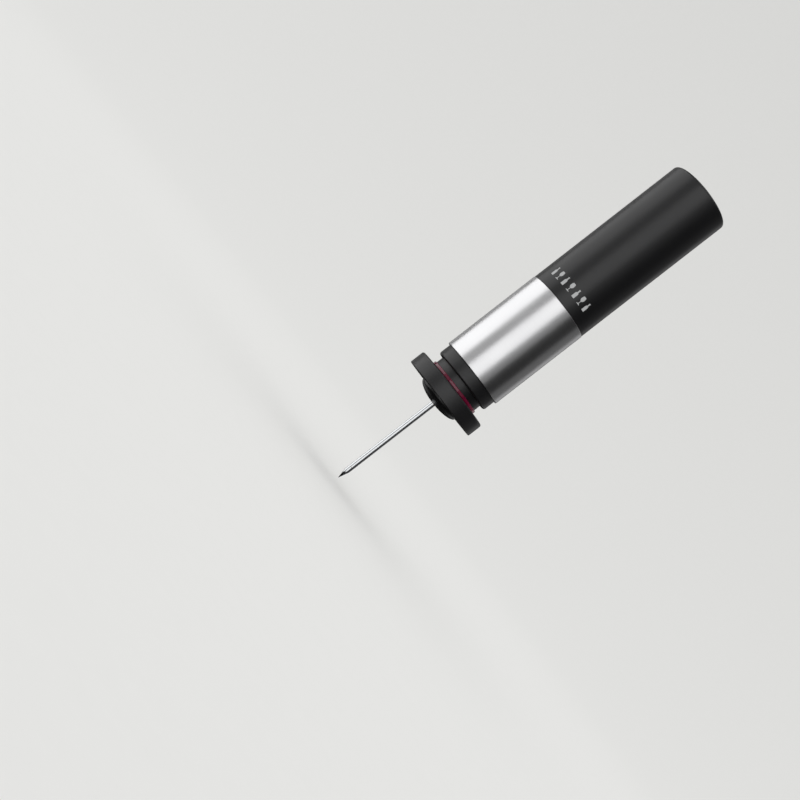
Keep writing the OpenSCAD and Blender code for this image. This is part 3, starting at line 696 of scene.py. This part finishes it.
def ink(name, outlines, place, slice_width=0.4 * MM, reach=18 * MM):
    """Thin ink shapes from flat outlines; place turns (across, up, raised) into a point."""
    shape = bmesh.new()
    for outline in outlines:
        shape.faces.new([shape.verts.new((across, 0, up)) for across, up in outline])
    for k in range(-int(reach / slice_width), int(reach / slice_width) + 1):
        bmesh.ops.bisect_plane(
            shape, geom=shape.verts[:] + shape.edges[:] + shape.faces[:],
            plane_co=(k * slice_width, 0, 0), plane_no=(1, 0, 0),
        )
    swept = bmesh.ops.extrude_face_region(shape, geom=shape.faces[:])["geom"]
    for vert in swept:
        if isinstance(vert, bmesh.types.BMVert):
            vert.co.y = 1
    for vert in shape.verts:
        vert.co = place(vert.co.x, vert.co.z, vert.co.y)
    return publish(name, shape)


class OPENER_OT_print(bpy.types.Operator):
    """Adds the row of bottle and glass pictograms printed on the sleeve"""

    bl_idname = "opener.print"
    bl_label = "Printed pictograms"

    def execute(self, context):
        sizes = context.scene.opener_housing
        height = sizes.print_height
        count = 7
        pitch = 4.2 * MM
        middle = math.radians(-12)
        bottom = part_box("sleeve")[0].z + 6 * MM
        thickness = 0.03 * MM
        outlines = []
        for k in range(count):
            across = (k - (count - 1) / 2) * pitch
            outline = bottle_outline(height) if k % 2 == 0 else glass_outline(height)
            outlines.append([(x + across, z + bottom) for x, z in outline])

        def place(across, up, raised):
            radius = sizes.sleeve_radius + (thickness if raised else -INK_ROOT)
            angle = middle + across / sizes.sleeve_radius
            return Vector((radius * math.sin(angle), -radius * math.cos(angle), up))

        piece = ink("sleeve_pictograms", outlines, place)
        settle(piece, "housing", None, pad_print(context.scene.opener_colours))
        return {"FINISHED"}


class OPENER_OT_port_cover(bpy.types.Operator):
    """Adds the rubber cover of the charging port, with its hinge barrel, its plug and a thumbnail scoop"""

    bl_idname = "opener.port_cover"
    bl_label = "Port cover"

    def execute(self, context):
        low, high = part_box("port_cover")
        port_low, port_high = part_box("usb_port")
        middle = (port_low.z + port_high.z) / 2
        barrel = 0.5 * MM
        hinge = Vector((0, 18.2 * MM, low.z + barrel))
        back = 17.7 * MM
        piece = prism("port_flap", cover_outline(high.x, hinge.z, high.z), back, high.y + 1 * MM)
        skin = lathe("skin", [(0, hinge.z - 5 * MM), (high.y, hinge.z - 5 * MM),
                              (high.y, high.z + 5 * MM), (0, high.z + 5 * MM)])
        combine(piece, "INTERSECT", skin)
        knuckle = lathe("knuckle", rounded([
            (0, -high.x, 0), (barrel, -high.x, 0.15 * MM), (barrel, high.x, 0.15 * MM), (0, high.x, 0),
        ]), 32)
        move(knuckle, Matrix.Translation(hinge) @ Matrix.Rotation(math.pi / 2, 4, "Y"))
        plug = prism("plug", port_outline(1.4 * MM, middle, 3 * MM), low.y, back + 0.1 * MM)
        scoop_radius = 3 * MM
        scoop = lathe("scoop", [
            (scoop_radius * math.cos(a), scoop_radius * math.sin(a))
            for a in [math.pi * (k / 32 - 0.5) for k in range(33)]
        ], 48)
        move(scoop, Matrix.Translation((0, high.y + 2.5 * MM, high.z - 1.4 * MM)))
        combine(piece, "UNION", knuckle, plug)
        combine(piece, "DIFFERENCE", scoop)
        settle(piece, "cover", "nose_rubber", silicone_rubber(context.scene.opener_colours), "port_cover")
        return {"FINISHED"}


# ---------------------------------------------------------------- the button

def dish(sizes, radius):
    """Height of the button's hollow face at this radius."""
    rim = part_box("power_button")[1].z
    return rim - sizes.button_dish * max(0, 1 - (radius / (sizes.button_radius - DISH_RIM)) ** 2)


class OPENER_OT_button(bpy.types.Operator):
    """Adds the dished power button with its symbol, and the milky light ring round it"""

    bl_idname = "opener.button"
    bl_label = "Button and light ring"

    def execute(self, context):
        sizes = context.scene.opener_guard
        colours = context.scene.opener_colours
        face = sizes.button_radius
        low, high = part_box("power_button")
        lip_low = low.z + 1.2 * MM
        lip_high = lip_low + 0.9 * MM
        post = 1.6 * MM
        post_top = low.z + 3.8 * MM
        skirt = face - 1.2 * MM
        bowl = [(r, dish(sizes, r), 0) for r in [(face - DISH_RIM) * (1 - k / 12) for k in range(13)]]
        button = lathe("dished_button", rounded([
            (0, low.z, 0),
            (post, low.z, 0.2 * MM),
            (post, post_top, 0),
            (skirt, post_top, 0),
            (skirt, lip_low, 0),
            (high.x, lip_low, 0.1 * MM),
            (high.x, lip_high, 0.1 * MM),
            (face, lip_high, 0),
            (face, high.z, 0.4 * MM),
            *bowl,
        ]))
        settle(button, "button", "button_black", satin_abs(colours), "power_button")

        ring_low, ring_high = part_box("light_ring")
        inner = face + 0.2 * MM
        hub = face + 1.8 * MM
        ledge = ring_low.z + 1.5 * MM
        ring = lathe("light_guide", rounded([
            (inner, ring_low.z, 0),
            (ring_high.x, ring_low.z, 0),
            (ring_high.x, ledge, 0),
            (hub, ledge, 0),
            (hub, ring_high.z, 0.25 * MM),
            (inner, ring_high.z, 0.25 * MM),
        ]))
        settle(ring, "housing", "light_milky", milky_polycarbonate(colours), "light_ring")

        thickness = 0.02 * MM
        stroke = 0.28 * MM
        loop = 2.2 * MM
        gap_angle = math.radians(38)
        turns = 40
        bends = [math.pi / 2 + gap_angle + (math.tau - 2 * gap_angle) * k / turns for k in range(turns + 1)]
        outlines = [
            [(r * math.cos(a), r * math.sin(a)) for r, a in (
                (loop - stroke, start), (loop + stroke, start), (loop + stroke, end), (loop - stroke, end),
            )]
            for start, end in zip(bends, bends[1:])
        ]
        outlines.append([
            (-stroke, 0.5 * loop), (stroke, 0.5 * loop), (stroke, 1.35 * loop), (-stroke, 1.35 * loop),
        ])

        def place(across, up, raised):
            height = dish(sizes, math.hypot(across, up))
            return Vector((across, up, height + (thickness if raised else -INK_ROOT)))

        symbol = ink("power_symbol", outlines, place, slice_width=1 * MM, reach=3 * MM)
        settle(symbol, "button", None, pad_print(colours))
        return {"FINISHED"}


# ---------------------------------------------------------------- the guard

class OPENER_OT_guard_tube(bpy.types.Operator):
    """Adds the sliding tube, whose lower end shows as the neck between flange and collar"""

    bl_idname = "opener.guard_tube"
    bl_label = "Sliding tube"

    def execute(self, context):
        sizes = context.scene.opener_guard
        low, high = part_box("guard_tube")
        outer = sizes.neck_radius
        inner = outer - sizes.neck_wall
        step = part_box("stop_ring")[0].z - 0.05 * MM
        floor = low.z + 3.4 * MM
        upper = outer - 0.5 * MM
        piece = lathe("sliding_tube", rounded([
            (sizes.needle_hole, low.z, 0),
            (outer, low.z, 0.2 * MM),
            (outer, step, 0.1 * MM),
            (upper, step, 0),
            (upper, high.z, 0.2 * MM),
            (inner, high.z, 0.2 * MM),
            (inner, floor, 0),
            (sizes.needle_hole, floor, 0.4 * MM),
        ]))
        combine(piece, "DIFFERENCE", *screw_holes(0.97 * MM, low.z - 1 * MM, floor + 1 * MM))
        settle(piece, "guard", "guard_black", sliding_abs(context.scene.opener_colours), "guard_tube")
        return {"FINISHED"}


def screw_holes(radius, low, high, sink=0.0):
    """Cutters for the three screws that hold the flange to the tube, widened at the bottom by sink."""
    circle = 9.6 * MM
    holes = []
    for k in range(3):
        hole = lathe(f"hole_{k}", [
            (0, low), (radius + sink, low), (radius, low + 1 * MM + sink), (radius, high), (0, high),
        ], 48)
        angle = math.tau * k / 3
        move(hole, Matrix.Translation((circle * math.cos(angle), circle * math.sin(angle), 0)))
        holes.append(hole)
    return holes


class OPENER_OT_grip_flange(bpy.types.Operator):
    """Adds the broad flange that the fingers pull, with the countersunk holes of its screws"""

    bl_idname = "opener.grip_flange"
    bl_label = "Grip flange"

    def execute(self, context):
        sizes = context.scene.opener_guard
        low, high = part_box("grip_flange")
        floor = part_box("guard_tube")[0].z
        seat = sizes.neck_radius + 0.05 * MM
        spigot = 7.1 * MM
        piece = lathe("grip_flange_ring", rounded([
            (spigot, low.z, 0),
            (high.x, low.z, sizes.flange_lower_edge),
            (high.x, high.z, sizes.flange_upper_edge),
            (seat, high.z, 0),
            (seat, floor, 0),
            (spigot, floor, 0),
        ]))
        combine(piece, "DIFFERENCE", *screw_holes(1.05 * MM, low.z - 1 * MM, floor + 1 * MM, 0.95 * MM))
        settle(piece, "guard", "guard_black", textured_abs(context.scene.opener_colours), "grip_flange")
        return {"FINISHED"}


class OPENER_OT_accent_ring(bpy.types.Operator):
    """Adds the glossy red ring on the flange"""

    bl_idname = "opener.accent_ring"
    bl_label = "Accent ring"

    def execute(self, context):
        sizes = context.scene.opener_guard
        low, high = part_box("accent_ring")
        inner = sizes.neck_radius + 0.05 * MM
        piece = lathe("red_ring", rounded([
            (inner, low.z, 0),
            (high.x, low.z, sizes.ring_edge),
            (high.x, high.z, sizes.ring_edge),
            (inner, high.z, 0),
        ]))
        settle(piece, "guard", "accent_red", gloss_acrylic(context.scene.opener_colours), "accent_ring")
        return {"FINISHED"}


class OPENER_OT_nose_pad(bpy.types.Operator):
    """Adds the domed rubber pad that rests on the bottle's rim"""

    bl_idname = "opener.nose_pad"
    bl_label = "Nose pad"

    def execute(self, context):
        sizes = context.scene.opener_guard
        low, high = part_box("nose_pad")
        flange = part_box("grip_flange")[0].z
        spigot = 7 * MM
        dome_height = flange - low.z + 0.1 * MM
        steepest = math.asin((flange - low.z) / dome_height)
        steps = 32
        dome = [
            (high.x * math.cos(a), flange - dome_height * math.sin(a), 0)
            for a in [steepest * (1 - k / steps) for k in range(steps + 1)]
        ]
        piece = lathe("nose_cushion", rounded([
            (sizes.needle_hole, low.z, 0.15 * MM), *dome, (spigot, flange, 0), (spigot, high.z, 0),
            (sizes.needle_hole, high.z, 0),
        ]))
        settle(piece, "guard", "nose_rubber", silicone_rubber(context.scene.opener_colours), "nose_pad")
        return {"FINISHED"}


class OPENER_OT_needle(bpy.types.Operator):
    """Adds the hollow needle with its conical point and its air holes"""

    bl_idname = "opener.needle"
    bl_label = "Needle"

    def execute(self, context):
        sizes = context.scene.opener_guard
        low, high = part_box("needle")
        outer = sizes.needle_radius
        shoulder = low.z + sizes.needle_point
        upper = outer - 0.2 * MM
        bore_end = shoulder + 1 * MM
        piece = lathe("hollow_needle", rounded([
            (0, low.z, 0),
            (outer, shoulder, 5 * MM),
            (outer, 0, 0.1 * MM),
            (upper, 0, 0),
            (upper, high.z, 0),
            (sizes.needle_bore, high.z, 0),
            (sizes.needle_bore, bore_end, 0),
            (0, bore_end, 0),
        ]), 64)
        drills = []
        for k, rise in enumerate((3 * MM, 6 * MM)):
            drill = lathe(f"drill_{k}", [
                (0, -outer * 2), (0.45 * MM, -outer * 2), (0.45 * MM, outer * 2), (0, outer * 2),
            ], 32)
            across = Matrix.Rotation(math.pi / 2, 4, "Y")
            turn = Matrix.Rotation(math.pi / 2 * (k + 1), 4, "Z")
            move(drill, Matrix.Translation((0, 0, shoulder + rise)) @ turn @ across)
            drills.append(drill)
        combine(piece, "DIFFERENCE", *drills)
        settle(piece, "housing", "needle_steel", ground_steel(context.scene.opener_colours), "needle")
        return {"FINISHED"}


# ---------------------------------------------------------------- the inside

class OPENER_OT_pump(bpy.types.Operator):
    """Finishes the pump: its castings, gears, seals and pins"""

    bl_idname = "opener.pump"
    bl_label = "Pump finishes"

    def execute(self, context):
        coat("cast_alloy", "brass", "bronze", "gear_acetal", "seal_rubber", "machined_steel")
        return {"FINISHED"}


class OPENER_OT_springs(bpy.types.Operator):
    """Adds the two valve springs, under the valve disc and the relief ball"""

    bl_idname = "opener.springs"
    bl_label = "Valve springs"

    def execute(self, context):
        wire = context.scene.opener_housing.spring_wire
        material = drawn_spring_wire()
        for name, node, joint, travel in (
            ("outlet_valve_spring", "outlet_spring", "outlet_valve_lift", 0.5 * MM),
            ("relief_valve_spring", "relief_spring", "relief_ball_lift", 0.4 * MM),
        ):
            low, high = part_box(node)
            centre = (low + high) / 2
            radius = high.x - centre.x - wire
            spring = coil(name, centre, radius, wire, low.z, high.z)
            settle(spring, "housing", "machined_steel", material, node)
            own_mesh(spring)
        return {"FINISHED"}


class OPENER_OT_motor(bpy.types.Operator):
    """Finishes the motor: its can, end cap, magnets and windings"""

    bl_idname = "opener.motor"
    bl_label = "Motor finishes"

    def execute(self, context):
        coat("motor_zinc", "motor_cap", "ferrite", "winding_copper")
        return {"FINISHED"}


class OPENER_OT_electronics(bpy.types.Operator):
    """Finishes the battery, the boards and their parts, and the wiring"""

    bl_idname = "opener.electronics"
    bl_label = "Battery and board finishes"

    def execute(self, context):
        coat("cell_wrap", "nickel", "board_green", "chip_black", "led_yellow", "wire_red")
        return {"FINISHED"}


class OPENER_OT_casings(bpy.types.Operator):
    """Finishes the inner casings, frames and screws"""

    bl_idname = "opener.casings"
    bl_label = "Casing and screw finishes"

    def execute(self, context):
        coat("frame_grey", "casing_grey", "liner_grey", "bush_acetal", "screw_steel")
        return {"FINISHED"}


# ---------------------------------------------------------------- the studio

def softbox(name, bearing, distance, width, height, middle, radiance):
    """A rectangular lamp that faces the opener's axis and is seen only in reflections.

    bearing is the angle round the axis from the front, towards +X.
    """
    lamp = bpy.data.lights.new(name, "AREA")
    lamp.shape = "RECTANGLE"
    lamp.size = width
    lamp.size_y = height
    lamp.energy = radiance * math.pi * width * height
    holder = bpy.data.objects.new(name, lamp)
    bpy.context.scene.collection.objects.link(holder)
    outward = Vector((math.sin(bearing), -math.cos(bearing), 0))
    holder.location = outward * distance + Vector((0, 0, middle))
    holder.rotation_mode = "QUATERNION"
    holder.rotation_quaternion = outward.to_track_quat("Z", "Y")
    holder.visible_camera = False
    holder.visible_diffuse = False


class OPENER_OT_studio(bpy.types.Operator):
    """Adds the camera, the pale floor and backdrop, and the soft lights"""

    bl_idname = "opener.studio"
    bl_label = "Studio"

    def execute(self, context):
        scene = context.scene
        scene.view_settings.view_transform = "Standard"
        self.add_camera(scene)
        self.add_stage(scene)
        self.add_lights(scene)
        return {"FINISHED"}

    def add_camera(self, scene):
        """The opener leans to the right, seen nearly square to its axis."""
        roll = math.radians(37.86)
        tilt = math.radians(-0.5)
        distance = 0.645
        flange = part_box("grip_flange")[0].z
        aim = Vector((-11.5 * MM, 0, flange - 15.8 * MM))
        back = Vector((0, -math.cos(tilt), -math.sin(tilt)))
        upright = Vector((0, -math.sin(tilt), math.cos(tilt)))
        across = Vector((1, 0, 0))
        right = math.cos(roll) * upright + math.sin(roll) * across
        up = math.sin(roll) * upright - math.cos(roll) * across
        lens = bpy.data.cameras.new("studio_camera")
        lens.sensor_width = 36
        lens.lens = 58.5
        lens.clip_start = 0.01
        camera = bpy.data.objects.new("studio_camera", lens)
        scene.collection.objects.link(camera)
        place = Matrix((right, up, back)).transposed().to_4x4()
        place.translation = aim + back * distance
        camera.matrix_world = place
        scene.camera = camera

    def add_stage(self, scene):
        """A floor that curves up into a round backdrop."""
        floor_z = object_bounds()[0].z - 3 * MM
        flat = 0.8
        bend = 1.2
        wall = 2.6
        skin = 10 * MM
        card = finish("matte_studio_card", scene.opener_colours.stage, 0.8, grain=6, depth=0.0, tone=0.01,
                      gloss=0.02, smudge=200)
        shader_of(card).inputs["Specular IOR Level"].default_value = 0.0
        floor = lathe("studio_floor", [
            (0, floor_z), (flat, floor_z), (flat, floor_z - skin), (0, floor_z - skin),
        ])
        steps = 24
        sweep = [
            (flat + bend * math.sin(a), floor_z + bend * (1 - math.cos(a)))
            for a in [math.pi / 2 * k / steps for k in range(steps + 1)]
        ]
        backdrop = lathe("studio_backdrop", [
            *sweep, (flat + bend, floor_z + wall), (flat + bend + skin, floor_z + wall),
            *[(r + skin, z - skin) for r, z in reversed(sweep)],
        ])
        for piece in (floor, backdrop):
            smooth(piece)
            piece.data.materials.append(card)
        # The stage stays out of reflections, so that the lamps alone draw the bands on the steel.
        floor.visible_glossy = False
        backdrop.visible_glossy = False
        backdrop.visible_diffuse = False
        backdrop.visible_shadow = False
        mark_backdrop(floor, backdrop)

    def add_lights(self, scene):
        """Soft lamps round the opener and above it, and an even light from everywhere."""
        distance = 1.1
        height = 2.2
        middle = 0.1
        for name, bearing, width, radiance in (
            ("broad_lamp", -96, 1.48, 1.45),
            ("bridge_lamp", -49, 0.63, 0.42),
            ("front_lamp", -5, 0.98, 1.36),
            ("fading_lamp", 31, 0.5, 0.25),
            ("side_lamp", 112, 0.8, 0.12),
            ("rim_lamp", 144, 0.5, 0.45),
            ("edge_lamp", -156, 0.6, 0.35),
        ):
            softbox(name, math.radians(bearing), distance, width, height, middle, radiance)
        top_radiance = 0.8
        top = bpy.data.lights.new("top_lamp", "AREA")
        top.size = 1.6
        top.energy = top_radiance * math.pi * top.size ** 2
        holder = bpy.data.objects.new("top_lamp", top)
        holder.location = (0, 0, 1.6)
        holder.visible_camera = False
        scene.collection.objects.link(holder)
        world = bpy.data.worlds.new("studio_air")
        world.use_nodes = True
        tree = world.node_tree
        ray = add(tree, "ShaderNodeLightPath")
        # The room is pale to matte surfaces and dim in reflections, so that the bands stay clear.
        pale = 0.84
        dim = 0.025
        level = add(tree, "ShaderNodeMapRange", [
            ("Value", ray.outputs["Is Glossy Ray"]), ("To Min", pale), ("To Max", dim),
        ])
        tree.nodes["Background"].inputs["Color"].default_value = (1, 1, 1, 1)
        tree.links.new(level.outputs[0], tree.nodes["Background"].inputs["Strength"])
        scene.world = world


# ---------------------------------------------------------------- the add-on

PROPERTY_GROUPS = {
    "opener_housing": OPENER_PG_housing,
    "opener_guard": OPENER_PG_guard,
    "opener_colours": OPENER_PG_colours,
}

OPERATORS = (
    OPENER_OT_studio,
    OPENER_OT_sleeve,
    OPENER_OT_band,
    OPENER_OT_collar,
    OPENER_OT_print,
    OPENER_OT_port_cover,
    OPENER_OT_button,
    OPENER_OT_guard_tube,
    OPENER_OT_grip_flange,
    OPENER_OT_accent_ring,
    OPENER_OT_nose_pad,
    OPENER_OT_needle,
    OPENER_OT_pump,
    OPENER_OT_springs,
    OPENER_OT_motor,
    OPENER_OT_electronics,
    OPENER_OT_casings,
)


class OPENER_PT_sidebar(bpy.types.Panel):
    """Lists the opener's sizes, colours and pieces"""

    bl_idname = "OPENER_PT_sidebar"
    bl_label = "Wine Opener"
    bl_space_type = "VIEW_3D"
    bl_region_type = "UI"
    bl_category = "Opener"

    def draw(self, context):
        for group_name, group in PROPERTY_GROUPS.items():
            box = self.layout.box()
            for setting in group.__annotations__:
                box.prop(getattr(context.scene, group_name), setting)
        for operator in OPERATORS:
            self.layout.operator(operator.bl_idname)


def register():
    for group_name, group in PROPERTY_GROUPS.items():
        bpy.utils.register_class(group)
        setattr(bpy.types.Scene, group_name, bpy.props.PointerProperty(type=group))
    for operator in OPERATORS:
        bpy.utils.register_class(operator)
    bpy.utils.register_class(OPENER_PT_sidebar)


def unregister():
    bpy.utils.unregister_class(OPENER_PT_sidebar)
    for operator in reversed(OPERATORS):
        bpy.utils.unregister_class(operator)
    for group_name, group in reversed(PROPERTY_GROUPS.items()):
        delattr(bpy.types.Scene, group_name)
        bpy.utils.unregister_class(group)


def main():
    """Builds everything in order."""
    register()
    for operator in OPERATORS:
        category, action = operator.bl_idname.split(".")
        getattr(getattr(bpy.ops, category), action)()


if __name__ == "__main__":
    main()
